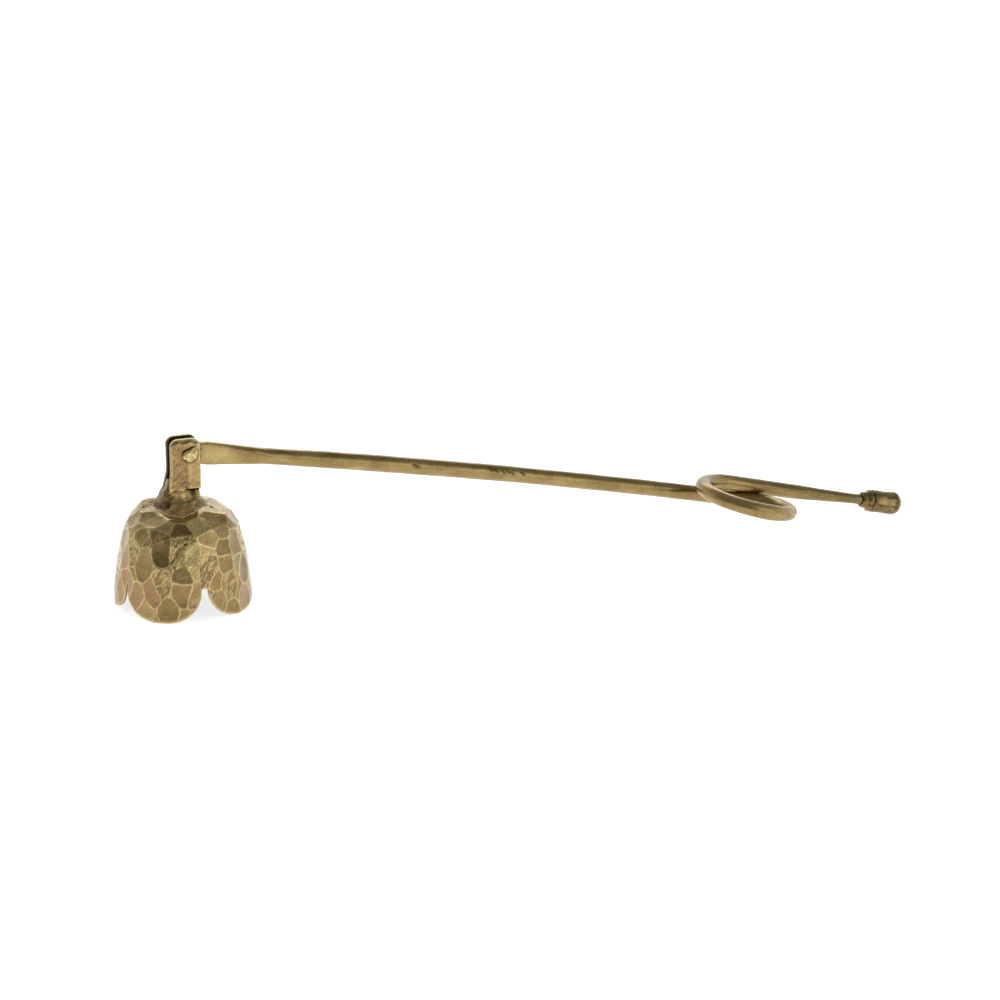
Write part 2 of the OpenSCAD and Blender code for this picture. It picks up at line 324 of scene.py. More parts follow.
def old_brass(name, body, deep, bright, rough=0.4, grain=0.03, mottled=1.0, brush=(0, 0, 0),
              brush_length=(1, 1, 1), wax=0.3):
    """Hand-worked brass under an old patina, rubbed bright along its edges.

    body, deep and bright are the colours of the plain surface, of its stains and painted shade,
    and of its worn edges and painted highlights.
    grain is the depth of its fine unevenness in millimetres, and mottled scales its patchiness.
    brush and brush_length turn and draw out its fine scratches, and wax is the weight of its coat.
    """
    s = Shades(name)
    cloud = s.noise(6.0, 5.0, 0.6, 0.6)
    fine = s.noise(1.1, 6.0, 0.7, 0.4)
    mottle = s.noise(0.55, 3.0, 0.6, 0.8)
    speck = s.noise(0.3, 3.0, 0.6)
    hairs = s.noise(0.5, 4.0, 0.65, 0.2, s.stretched(brush, brush_length))
    stained = s.times(s.ramp(cloud, 0.42, 0.68), s.ramp(fine, 0.3, 0.62, 0.35, 1.0))
    s.tint = body
    s.cover(s.times(stained, 0.5), deep)
    s.cover(s.ramp(s.noise(4.2, 3.0, 0.5, 1.0), 0.5, 0.72, 0.0, 0.45), TAN)
    s.cover(s.ramp(s.noise(5.3, 3.0, 0.5, 0.8), 0.52, 0.7, 0.0, 0.45), OLIVE)
    pink = s.maths("MINIMUM", s.mark("blush"), 1.0)
    s.cover(s.times(pink, s.ramp(fine, 0.25, 0.7, 0.3, 0.85)), PINK)
    s.cover(s.ramp(s.mark("blush"), 1.1, 2.2, 0.0, 0.8), RUST)
    # Tone: random patina shades, and on some pieces painted highlights and painted shade
    tone = s.mark("tone")
    s.cover(s.ramp(tone, 0.0, 1.0, 0.0, 0.6), bright)
    s.cover(s.ramp(s.times(tone, -1.0), 0.0, 1.0, 0.0, 0.72), deep)
    patches = s.ramp(mottle, 0.32, 0.68, 1 - 0.32 * mottled, 1 + 0.25 * mottled)
    s.cover(1.0, patches, "MULTIPLY")
    s.cover(s.ramp(speck, 0.6, 0.74, 0.0, 0.3 * mottled), deep)
    strokes = s.noise(1.1, 2.0, 0.5, 0.9, s.stretched((0, 0.7, 0), (0.7, 1.0, 2.4)))
    scuff = s.times(s.mark("scuff"), s.ramp(strokes, 0.46, 0.56))
    furrow = s.times(s.mark("scuff"), s.ramp(strokes, 0.38, 0.47, 0.75, 0.0))
    s.cover(furrow, deep)
    # Worn edges, with painted highlights carried by the same mark
    wear = s.times(s.mark("wear"), s.ramp(fine, 0.3, 0.62, 0.2, 1.0))
    streak = s.ramp(hairs, 0.6, 0.75, 0.0, 0.22)
    light = s.maths("MAXIMUM", wear, s.maths("MAXIMUM", streak, s.times(scuff, 0.65)))
    s.cover(light, bright)
    # Soiling, with painted shade carried by the same mark
    s.cover(s.mark("dirt"), GRIME_AND_SHADE)
    dull = s.ramp(fine, 0.3, 0.7, rough - 0.06, rough + 0.1)
    dull = s.maths("ADD", dull, s.ramp(hairs, 0.45, 0.7, 0.0, 0.06))
    dull = s.maths("SUBTRACT", dull, s.times(wear, 0.08))
    dull = s.maths("ADD", dull, s.times(s.mark("dirt"), 0.25))
    rise = s.bump(fine, grain * 3.2)
    rise = s.bump(hairs, grain * 0.8, 1.0, rise)
    rise = s.bump(mottle, grain * 1.6 * mottled, 0.9, rise)
    rise = s.bump(s.maths("SUBTRACT", scuff, furrow), 0.1, 1.0, rise)
    s.shade(Base_Color=s.tint, Metallic=1.0, Roughness=dull, Normal=rise, Coat_Weight=wax,
            Coat_Roughness=0.22)
    return s.material


bell_metal = old_brass("HammeredBrass", colour(0.258, 0.172, 0.054), DEEP, BRIGHT, 0.27, 0.02, 0.5,
                       (0.3, 0.5, 0.9), (4, 0.7, 0.7), 0.5)
neck_metal = old_brass("WeatheredBrass", colour(0.26, 0.154, 0.056), DEEP, BRIGHT, 0.38, 0.035, 0.5,
                       (0, 0.1, 0), (1, 1, 3))
cheek_metal = old_brass("FiledBrass", colour(0.285, 0.175, 0.066), DEEP, BRIGHT, 0.36, 0.02, 0.35,
                        (0, 0.06, 0), (0.7, 1, 6))
braze_metal = old_brass("BrazeMetal", colour(0.25, 0.165, 0.062), DEEP, colour(0.60, 0.46, 0.21),
                        0.5, 0.04, 0.7, (0, 0, 0.5), (1.7, 1, 1))
rivet_metal = old_brass("RivetBrass", colour(0.42, 0.34, 0.13), DEEP, BRIGHT, 0.38, 0.035, 0.6)
rod_metal = old_brass("DrawnBrass", colour(0.306, 0.214, 0.077), DEEP, BRIGHT, 0.3, 0.006, 0.4,
                      (0, 0.16, 0), (20, 0.8, 0.8))
knob_metal = old_brass("DarkBrass", colour(0.125, 0.088, 0.028), colour(0.045, 0.03, 0.009),
                       colour(0.42, 0.32, 0.12), 0.28, 0.015, 0.3, (0, 0.2, 0), (5, 0.7, 0.7))


# ---------------------------------------------------------------- bell

# Notches between the hand-cut petals: direction in degrees and width in millimetres, then how
# square the petal after each is and how far its tip stops short
NOTCHES = [(-160.9, 0.7, 2.2, 0.0), (-86.0, 1.9, 2.15, 0.0), (-10.5, 1.6, 2.1, 0.1),
           (53.0, 1.5, 2.2, 0.0), (117.5, 1.5, 3.1, 0.8)]

# Hammer marks that can be made out on the near side: direction, height, extra depth, then tone,
# pinkness and scuffing, with noughts left off the end. Their tones are partly patina and partly
# painted highlights and painted shade, after how each facet catches the light. A deeper mark
# covers more of the sheet.
NEAR_MARKS = [
    (-150, 27.9, 0.3, 0.35), (-178, 27.0, 0, 0.1), (-127, 26.6, -0.06, 0.4, 0.1),
    (-107, 26.1, 0.06, -0.6), (-88, 26.6, 0.0, 0.6, 0, 0.3), (-62, 27.6, 0.3, 0.35),
    (-19, 26.3, 0.05, 0.2), (-102, 29.2, -0.1, 0.5), (-148, 23.6, 0, 0.1, 0, 0.3),
    (-130, 24.8, 0, 0.3, 0, 0.5), (-156, 20.3, -0.04, -0.45, 0, 0.4), (-178, 21.7, 0, 0.15),
    (-125, 20.2, 0.05, -0.6), (-103, 23.7, 0.03, 0.3, 0, 1), (-77, 23.0, 0.06, 0.15),
    (-44, 21.8, 0, -0.1, 0.15), (-141, 15.6, 0.06, 0.1, 0.25), (-167, 18.0, -0.03, 0.1, 0.5),
    (-162, 12.1, 0, -0.1, 0.6), (-108, 17.8, 0, -0.1, 0.1, 1), (-123, 12.9, 0, -0.15, 0.15, 0.5),
    (-106, 13.6, 0, -0.6, 0, 0.1), (-95, 17.0, -0.06, 1.0, 0, 0.2),
    (-94, 21.2, -0.06, 0.7, 0.2, 0.2), (-85, 13.6, 0.05, 0.15, 0.7, 0.6),
    (-63, 15.8, 0.02, -0.05, 0.2), (-43, 14.9, 0, -0.1, 0.05), (-38, 10.0, -0.02, -0.5, 0.1),
    (-81, 19.6, -0.05, 0.4, 0.2), (-76, 11.9, -0.04, 0.2), (-108, 9.1, 0.03, 0.1, 0.1),
    (-96, 8.2, 0.02, 0.25, 0.5, 0.2), (-132, 7.2, 0.03, 0, 0.6), (-148, 7.4, 0.03, 0, 0.6),
    (-118, 3.8, 0.03, -0.35), (-61, 9.3, 0.03, -0.05, 0.15, 0.4), (-41, 4.3, 0.03, 0, 0.6),
    (-73, 5.0, 0.02, -0.1, 0.15, 0.2), (-170, 6.3, 0.02, 0.1, 0.3),
]
MARK_ROWS = (2.4, 8.4, 14.6, 20.3, 24.7, 27.6, 28.95)   # heights of the marks elsewhere
MARK_PITCH = 5.4
MARK_GAP = 4.4         # a mark by rule keeps at least this far from a listed one
LOOK_SPANS = ((-0.55, 0.5), (-0.6, 0.6), (-0.9, 0.8))   # tone, pinkness and scuffing of those by rule
HAMMER_R = 50.0        # radius of the hammer's rounded face
MARK_DEPTH = 0.32
CROWN_EXTRA = 0.16     # how much deeper the marks go towards the crown
MARK_TILT = 0.035      # how far a mark's facing strays from the sheet's
MARK_REACH = 10.0      # a mark leaves no trace further than this from its middle
OUT_OF_REACH = 9.0
RIDGE_BLUR = 0.018     # how softly one mark meets the next

outline = np.vstack([
    bezier([(MOUTH_R, 0), (MOUTH_R + 0.1, 7), (MOUTH_R - 1.2, 14), SHOULDER], 200),
    bezier([SHOULDER, (SHOULDER[0] - 1.1, BELL_H - 3.9), (SHOULDER[0] - 3.3, BELL_H - 1.1),
            (CROWN_R, BELL_H)], 200)[1:],
    np.array([[SPIGOT_R + 0.02, BELL_H]]),
])
SIDE_ALONG = distances(outline)
SIDE_SLOPE = unit(np.stack([np.gradient(outline[:, 0], SIDE_ALONG),
                            np.gradient(outline[:, 1], SIDE_ALONG)], axis=-1))


def on_bell(turn, along):
    """Points and outward normals of the bell's plain outer surface."""
    r = np.interp(along, SIDE_ALONG, outline[:, 0])
    z = np.interp(along, SIDE_ALONG, outline[:, 1])
    dr = np.interp(along, SIDE_ALONG, SIDE_SLOPE[:, 0])
    dz = np.interp(along, SIDE_ALONG, SIDE_SLOPE[:, 1])
    turn = np.radians(turn)
    spot_at = np.stack([r * np.cos(turn), r * np.sin(turn), z], axis=-1)
    facing = unit(np.stack([dz * np.cos(turn), dz * np.sin(turn), -dr], axis=-1))
    return spot_at, facing


def along_at(height):
    """Distance along the outline at which it reaches a height below the crown's flat."""
    return np.interp(height, outline[:-1, 1], SIDE_ALONG[:-1])


def hammer_marks():
    """Every mark's place, facing and depth, and its tone, pinkness and scuffing."""
    rng = np.random.default_rng(7)
    chosen = [mark + (0,) * (6 - len(mark)) for mark in NEAR_MARKS]
    fixed = np.array([on_bell(mark[0], along_at(mark[1]))[0] for mark in NEAR_MARKS])
    for row, height in enumerate(MARK_ROWS):
        radius = np.interp(along_at(height), SIDE_ALONG, outline[:, 0])
        count = round(2 * math.pi * radius / MARK_PITCH)
        for k in range(count):
            turn = (k + 0.5 * (row % 2) + rng.uniform(-0.2, 0.2)) * 360 / count
            high = height + rng.uniform(-0.9, 0.9) * (1 if height < 24 else 0.5)
            tone, pink, scuff = (rng.uniform(*span) for span in LOOK_SPANS)
            here = on_bell(turn, along_at(high))[0]
            if np.linalg.norm(fixed - here, axis=1).min() > MARK_GAP:
                chosen.append((turn, high, 0, tone, max(0.0, pink), max(0.0, scuff)))
    marks = []
    for turn, height, extra, *looks in chosen:
        centre, facing = on_bell(turn, along_at(height))
        facing = unit(facing + rng.normal(size=3) * MARK_TILT)
        depth = MARK_DEPTH + CROWN_EXTRA * float(step(height, 18, 26)) + extra
        depth += rng.uniform(-0.012, 0.012)
        marks.append((centre, facing, depth, looks))
    return marks


def crown_dents(points, normals):
    """Depth of the hammer marks at each point, which die out under the post's foot."""
    radius = np.hypot(points[:, 0], points[:, 1])
    return hammered(points, normals)[0] * step(radius, FOOT_R - 2.5, FOOT_R)


def hammered(points, normals):
    """Depth that the hammer leaves at each point, gap to the nearest ridge, and the mark's looks."""
    marks = hammer_marks()
    wander = np.stack([lumps(points, 5.0, seed) for seed in (11, 12, 13)], axis=-1) * 0.22
    moved = points + wander - normals * np.sum(wander * normals, axis=-1, keepdims=True)
    # How far each mark's bowl lies above the sheet, with the plain sheet last
    rise = np.full((len(points), len(marks) + 1), OUT_OF_REACH)
    rise[:, -1] = 0
    for k, (centre, facing, depth, _) in enumerate(marks):
        near = np.flatnonzero(np.sum((moved - centre) ** 2, axis=1) < MARK_REACH**2)
        offset = centre - moved[near]
        lateral = np.sum(offset**2, axis=1) - (offset @ facing) ** 2
        above = offset @ facing - depth + lateral / (2 * HAMMER_R)
        rise[near, k] = above / np.maximum(normals[near] @ facing, 0.3)
    total = np.exp(-rise / RIDGE_BLUR).sum(axis=1)
    owner, runner = np.argsort(rise, axis=1)[:, :2].T
    every = np.arange(len(points))
    gap = rise[every, runner] - rise[every, owner]
    facings = np.array([m[1] for m in marks] + [(0, 0, 0)])
    mine, theirs = (np.where((k == len(marks))[:, None], normals, facings[k])
                    for k in (owner, runner))
    bend = np.maximum(np.linalg.norm(mine - theirs, axis=1), 0.12)
    looks = np.array([m[3] for m in marks] + [(0, 0, 0)])[owner]
    return -RIDGE_BLUR * np.log(total), gap / bend, looks


def petal_edge(share, power, lift):
    """Height of a petal's edge at a share, from 0 to 1, of the way from its middle to its side."""
    share = clipped(np.abs(share))
    return np.maximum(NOTCH_H - (NOTCH_H - lift) * (1 - share**power) ** (1 / power) - TIP_FLAT, 0)


def make_bell():
    # Columns: closer together along the petals' steep sides, and even further up
    steps = 90
    sweep = np.linspace(-1, 1, steps + 1)
    share = 0.85 * np.sin(sweep * math.pi / 2) + 0.15 * sweep
    edge_turn, even_turn, edge_high = [], [], []
    for k, (start, start_w, power, lift) in enumerate(NOTCHES):
        end, end_w = NOTCHES[(k + 1) % len(NOTCHES)][:2]
        end += 360 * (end < start)
        low = start + math.degrees(start_w / 2 / MOUTH_R)
        gap = math.degrees(end_w / 2 / MOUTH_R)
        middle, half = (low + end - gap) / 2, (end - gap - low) / 2
        edge_turn += list(middle + half * share) + [end - gap / 2, end, end + gap / 2]
        edge_high += list(petal_edge(share, power, lift)) + [NOTCH_H - TIP_FLAT] * 3
        cols = steps + 4
        even_turn += list(start + (end - start) * (np.arange(cols) + 2) / cols)
    edge_turn, even_turn = np.array(edge_turn), np.array(even_turn)
    edge_along = along_at(np.array(edge_high))

    # Rim: where the sheet's edge runs, and the way out of the sheet across it
    arc = math.radians(1) * MOUTH_R
    turn_diff = (np.roll(edge_turn, -1) - np.roll(edge_turn, 1) + 540) % 360 - 180
    run = unit(np.stack([turn_diff * arc, np.roll(edge_along, -1) - np.roll(edge_along, 1)], axis=-1))
    out_turn, out_along = run[:, 1] / arc, -run[:, 0]
    round_off = 0.36
    in_turn, in_along = edge_turn - out_turn * round_off, edge_along - out_along * round_off

    # Outer rows: from the rim to an even row above the notches, then on to the post's hole
    lower, meet = 44, along_at(14.6)
    rise = np.linspace(0, 1, lower + 1)[:, None]
    turn_rows = [in_turn + (even_turn - in_turn) * (0.5 * step(rise, 0, 1) + 0.5 * rise)]
    along_rows = [in_along + (meet - in_along) * rise]
    crown = SIDE_ALONG[-2]
    upper = np.concatenate([np.linspace(meet, crown, 66)[1:],
                            np.linspace(crown, SIDE_ALONG[-1], 6)[1:]])
    turn_rows.append(np.tile(even_turn, (len(upper), 1)))
    along_rows.append(np.tile(upper[:, None], (1, len(even_turn))))
    turn, along = np.vstack(turn_rows), np.vstack(along_rows)
    base, normal = on_bell(turn, along)
    shape = turn.shape
    depth, ridge, looks = hammered(base.reshape(-1, 3), normal.reshape(-1, 3))
    depth, ridge = depth.reshape(shape), ridge.reshape(shape)
    tone, pink, scuff = np.moveaxis(looks.reshape(shape + (3,)), -1, 0)
    radius = np.hypot(base[..., 0], base[..., 1])
    clear_of_post = step(radius, FOOT_R - 2.5, FOOT_R)
    pit = spot(base, (8.2, -3.9, 29.2), 0.5)
    depth = depth * clear_of_post + 0.018 * lumps(base, 2.6, 3) - 0.02
    depth += 0.035 * scuff * lumps(base, 1.4, 4) - 0.35 * pit
    # Where the real bell bulges or is flattened: how much, the middle and the size
    swell = 0.16 * step(base[..., 2], 5, 16)
    for amount, middle, size in ((0.9, (-10.3, 4.2, 29), 4.2), (1.2, (-6.5, 6, 29.5), 3.8),
                                 (0.6, (9, 6.5, 29), 5), (-0.35, (-17.3, 6.5, 19.5), 7.5)):
        swell = swell + amount * spot(base, middle, size)

    # Inner rows, coarser, with the dents showing softly
    top_row = shape[0] - 6
    pick = np.concatenate([np.arange(0, top_row, 3), np.arange(top_row, shape[0])])
    inner_depth = -(WALL - 0.02) - 0.45 * depth[pick]
    depth = depth + swell

    # Rim rows carry the outer surface round to the inner one
    rim = np.radians([22, 50, 90, 130, 158])[:, None]
    bulge = round_off * np.sin(rim) ** 0.6
    across_sheet = (1 - np.cos(rim)) / 2
    rim_turn, rim_along = in_turn + out_turn * bulge, in_along + out_along * bulge
    rim_depth = depth[0] * (1 - across_sheet) + inner_depth[0] * across_sheet

    # One closed ring of rows: outside up, inside down, round the rim
    all_turn = np.vstack([turn, turn[pick][::-1], rim_turn[::-1]])
    all_along = np.vstack([along, along[pick][::-1], rim_along[::-1]])
    all_depth = np.vstack([depth, inner_depth[::-1], rim_depth[::-1]])
    points, facing = on_bell(all_turn, np.maximum(all_along, 0))
    points = points + facing * all_depth[..., None]
    points[..., 2] = np.maximum(points[..., 2], 0.0)

    # Marks for the material
    # Ridges rubbed bright, raised on the near side's middle as a painted highlight
    wear = fade(ridge, 0.23) * (0.85 + 0.25 * spot(base, (-1.5, -18.5, 18), 7))
    near_rim = fade(np.linspace(0, shape[0], shape[0]), 1.3)[:, None]
    wear = np.maximum(wear, near_rim * 0.6)
    low_part = step(base[..., 2], 17, 2) * (0.5 + 0.3 * lumps(base, 6, 21))
    foot_dirt = 0.35 * fade(radius - 9.0, 1.2) * clipped(0.4 + 0.6 * lumps(base, 3, 5)) + 0.8 * pit
    rust = np.maximum(*(spot(base, on_bell(-166, along_at(height))[0], size)
                        for height, size in ((12.6, 0.9), (10.8, 0.8))))
    tone = tone + 0.12 * lumps(base, 3.5, 8) - 0.12 * step(base[..., 2], 22, 12)
    blush = clipped(pink + low_part * 0.6) + 2.2 * rust
    corner = 0.9 * np.abs(np.cos(rim[::-1]))
    # Each mark's values outside, inside and round the rim
    parts = {
        "wear": (wear, 0, corner), "scuff": (scuff, 0, 0), "tone": (tone, -0.35, corner - 0.55),
        "blush": (blush, 0.1, 0.15), "dirt": (foot_dirt, 0.12, 0),
    }
    inner, edge = np.zeros((len(pick), shape[1])), np.zeros((len(rim), shape[1]))
    marks = {key: np.vstack([a, inner + b, edge + c]) for key, (a, b, c) in parts.items()}
    return ring_mesh("Bell", points, wrap_rows=True, **marks)


# ---------------------------------------------------------------- neck post and braze

REAR_FLARE = 1.5       # the web and the far cheek lean out this many times as far as the near cheek
LIP, DITCH = 0.16, 0.27   # how far up the braze its wiped lip and the hollow above it lie, as shares


def neck_flare(z):
    """How far the fork's left side leans out low down, at a height."""
    return 0.85 * step(-np.asarray(z, float), -42.0, -34.0) ** 2


def make_neck_post():
    """The post: its peened end, its spigot, its flared foot and the web between the cheeks."""
    cols = 240
    under = BELL_H - WALL
    head_r, head_h = 3.8, 1.1
    web = FORK_T / 2 - CHEEK_T - 0.01
    right = FORK_X + FORK_W / 2 - 0.05
    left = FORK_W / 2 - FORK_X
    # Each section: height, reach to the left, right, front and back, and squareness
    sections = [(under - head_h * math.sin(a),) + (head_r * math.cos(a),) * 4 + (2.0,)
                for a in np.radians([86, 70, 50, 30, 12, 0])]
    sections += [(z,) + (SPIGOT_R,) * 4 + (2.0,) for z in (under + 0.01, BELL_H - 0.8)]
    foot = np.array([
        (BELL_H - 0.7, 7.9, 8.4, 7.6, 9.0, 2.0), (BELL_H - 0.1, 7.7, 8.0, 7.0, 8.4, 2.0),
        (BELL_H + 0.5, 7.5, 7.3, 6.1, 7.4, 2.1), (BELL_H + 1.2, 6.9, 6.5, 5.1, 6.2, 2.4),
        (BELL_H + 2.0, 6.3, 5.9, 4.2, 5.4, 2.9), (BELL_H + 3.0, 5.7, right + 0.05, 3.5, 4.7, 3.8),
        (BELL_H + 4.0, 5.1, right, 3.15, 4.2, 4.8),
        (CHEEK_BOTTOM - 0.02, 4.65, right, 2.95, 3.8, 5.6),
    ])
    for z in np.linspace(foot[0, 0], foot[-1, 0], 40):
        sections.append(tuple(float(np.interp(z, foot[:, 0], foot[:, k])) for k in range(6)))
    sections += [(z, left + REAR_FLARE * neck_flare(z) - 0.03, right, web, web, 9.0)
                 for z in np.linspace(CHEEK_BOTTOM, SLOT_FLOOR - 0.3, 12)]
    sections += [(SLOT_FLOOR - 0.1, left - 0.05, right - 0.1, web, web, 9.0),
                 (SLOT_FLOOR, left - 0.5, right - 0.5, web, web, 9.0)]
    turn = full_turn(cols)
    c, s = np.cos(turn), np.sin(turn)
    rows = []
    for z, to_left, to_right, to_front, to_back, power in sections:
        x = (to_right - to_left) / 2 + squared(c, power) * (to_right + to_left) / 2
        y = (to_back - to_front) / 2 + squared(s, power) * (to_back + to_front) / 2
        rows.append(np.column_stack([x, y, np.full(cols, z)]))
    points = np.stack(rows)
    x, y, z = np.moveaxis(points, -1, 0)
    web_part = step(z, CHEEK_BOTTOM - 0.05, CHEEK_BOTTOM + 0.05)
    neck = step(z, BELL_H - 0.8, BELL_H) * (1 - web_part)
    front = step(-y, 0.5, 2.0)
    rough = 0.1 * lumps(points, 2.6, 31) + 0.05 * lumps(points, 1.0, 32)
    seam = groove(points, (-3.9, -1.5, 36), (-4.6, -1.6, 31.0), 0.3)
    scar = groove(points, (1.0, -3.3, 34.2), (0.6, -4.6, 31.0), 0.22)
    flush = step(-x, -0.8, 0.8) * front * step(z, 31.0, 33.5)
    undercut = step(x, 1.0, 2.6) * front * step(z, 32.6, 34.0)
    push = rough - 0.14 * scar * front - 0.16 * seam + 0.35 * flush - 0.55 * undercut
    points = pushed(points, push * neck - 0.03 * web_part)
    # Painted shadow under the near cheek's overhang at its right
    shadow_under_cheek = fade(z - CHEEK_BOTTOM, 0.55) * step(x, 0.4, 1.8) * front
    near_foot = fade(z - BELL_H - 0.6, 1.1)
    tan_patch = spot(points, (0.2, -3.9, 32.3), 1.9)
    # The left flank, painted darker as shade and with upright dark streaks
    left_flank = step(-x, 3.0, 4.4) * step(BELL_H + 5.5 - z, 0, 1) * neck
    upright_lumps = lumps(points * np.array([1, 1, 0.15]), 1.2, 36)
    return ring_mesh(
        "NeckPost", points,
        wear=clipped(0.3 * lumps(points, 2.2, 33) + 0.2 * tan_patch) * neck,
        # Tone: random, darker on the near side towards the right as painted shade, lighter on the
        # foot's right flare as a painted highlight, and darker on the left flank as painted shade
        tone=0.3 * lumps(points, 2.4, 34) - 0.4 * front * hump(x, 2, 3, 5.2, 6.5)
             + 0.5 * step(x, 5.5, 7.5) + 0.3 * tan_patch - 0.5 * left_flank,
        blush=clipped(0.15 * lumps(points, 3.0, 35)),
        # Dark: the painted shadow under the cheek, darker at the foot, the scar and the seam, and the
        # left flank's streaks and painted shade
        dirt=clipped(0.9 * shadow_under_cheek + 0.2 * near_foot + 0.55 * scar * front + 0.6 * seam
                     + left_flank * (0.14 + 0.5 * clipped(upright_lumps))),
    )


def make_braze():
    """The run-in filler: wide on the left and near side, where it ends in wiped, rounded lips."""
    cols, steps, top_r = 360, 34, 5.2
    turn = full_turn(cols)
    # How far it reaches, how much it swells on the left and how lipped it is, by direction
    reach = round_table(turn, [(-165, 7.6), (-138, 9.0), (-108, 10.8), (-84, 9.4), (-60, 7.6),
                               (-20, 7.2), (40, 7.8), (100, 8.4), (165, 8.6)])
    reach = reach + 0.12 * np.sin(7 * turn + 1.0) + 0.08 * np.sin(13 * turn)
    left = round_table(turn, [(165, 0.6), (-150, 0.3), (-100, 0.0), (60, 0.0), (110, 0.2)])
    lipped = round_table(turn, [(-150, 0.2), (-128, 0.8), (-100, 1.0), (-70, 1.0), (-45, 0.2),
                                (60, 0.0), (170, 0.1)])
    flat = np.linspace(0, 1, steps)

    def sheet_at(t):
        """The ring's radius at a share of the way up, and the height of the dented sheet there."""
        r = reach + (top_r - reach) * t
        base, normal = on_bell(np.degrees(turn), np.interp(-r, -outline[200:, 0], SIDE_ALONG[200:]))
        return r, base[:, 2] + crown_dents(base, normal) / np.maximum(normal[:, 2], 0.5) + 0.2

    ring = []
    for t in flat:
        r, base = sheet_at(t)
        lips = 0.3 * fade(t - LIP, 0.06) + 0.16 * fade(t - 0.38, 0.06) - 0.12 * fade(t - DITCH, 0.05)
        z = base - 0.75 + 0.75 * float(step(t, 0, 0.12)) + 0.2 * t + 1.5 * t**3 + lips * lipped
        ring.append((r, z + left * 0.75 * math.sin(math.pi * t) ** 0.8))
    for t in flat[::-4]:
        r, base = sheet_at(t)
        ring.append((r, base - 0.95))
    points = np.stack([np.column_stack([r * np.cos(turn), r * np.sin(turn), z]) for r, z in ring])
    share = np.concatenate([flat, np.zeros(len(ring) - steps)])[:, None] * np.ones(cols)
    top = np.concatenate([step(flat, 0.02, 0.15), np.zeros(len(ring) - steps)])[:, None]
    points[..., 2] += (0.1 * lumps(points, 2.4, 41) + 0.05 * lumps(points, 1.0, 42)) * top
    lip = fade(share - LIP, 0.06) * lipped * top
    ditch = (fade(share - DITCH, 0.05) + fade(share - 0.05, 0.03)) * lipped * top
    return ring_mesh(
        "BrazeFillet", points,
        wear=clipped(0.35 * lip + 0.25 * lumps(points, 2.0, 43)) * top,
        # Tone: random, lighter throughout, lighter on the lips, and lighter on the left as a painted
        # highlight
        tone=(0.4 * lumps(points, 2.7, 44) + 0.5 + 0.3 * lip + 0.3 * left) * top,
        blush=clipped(0.4 * lumps(points, 3.2, 45)) * top,
        dirt=clipped(0.35 * ditch) * top,
        wrap_rows=True,
    )


# ---------------------------------------------------------------- fork cheeks


def cheek_outline(count):
    """Evenly spaced points round a cheek in X and Z, and the inward normal at each."""
    left, right = FORK_X - FORK_W / 2, FORK_X + FORK_W / 2
    corners = [(right, CHEEK_BOTTOM, 0.35, -90), (right, CHEEK_TOP, CORNER_R, 0),
               (left, CHEEK_TOP, CORNER_R, 90), (left, CHEEK_BOTTOM, 0.35, 180)]
    path = []
    for x, z, r, start in corners:
        middle = np.array([x - math.copysign(r, x - FORK_X), z - math.copysign(r, z - SLOT_FLOOR)])
        for a in np.radians(np.linspace(start, start + 90, 24)):
            path.append(middle + r * np.array([math.cos(a), math.sin(a)]))
    path = np.array(path + path[:1])
    along = distances(path)
    even = np.linspace(0, along[-1], count, endpoint=False)
    ring = np.stack([np.interp(even, along, path[:, 0]), np.interp(even, along, path[:, 1])], axis=-1)
    run = unit(np.roll(ring, -1, axis=0) - np.roll(ring, 1, axis=0))
    return ring, np.stack([-run[:, 1], run[:, 0]], axis=-1)


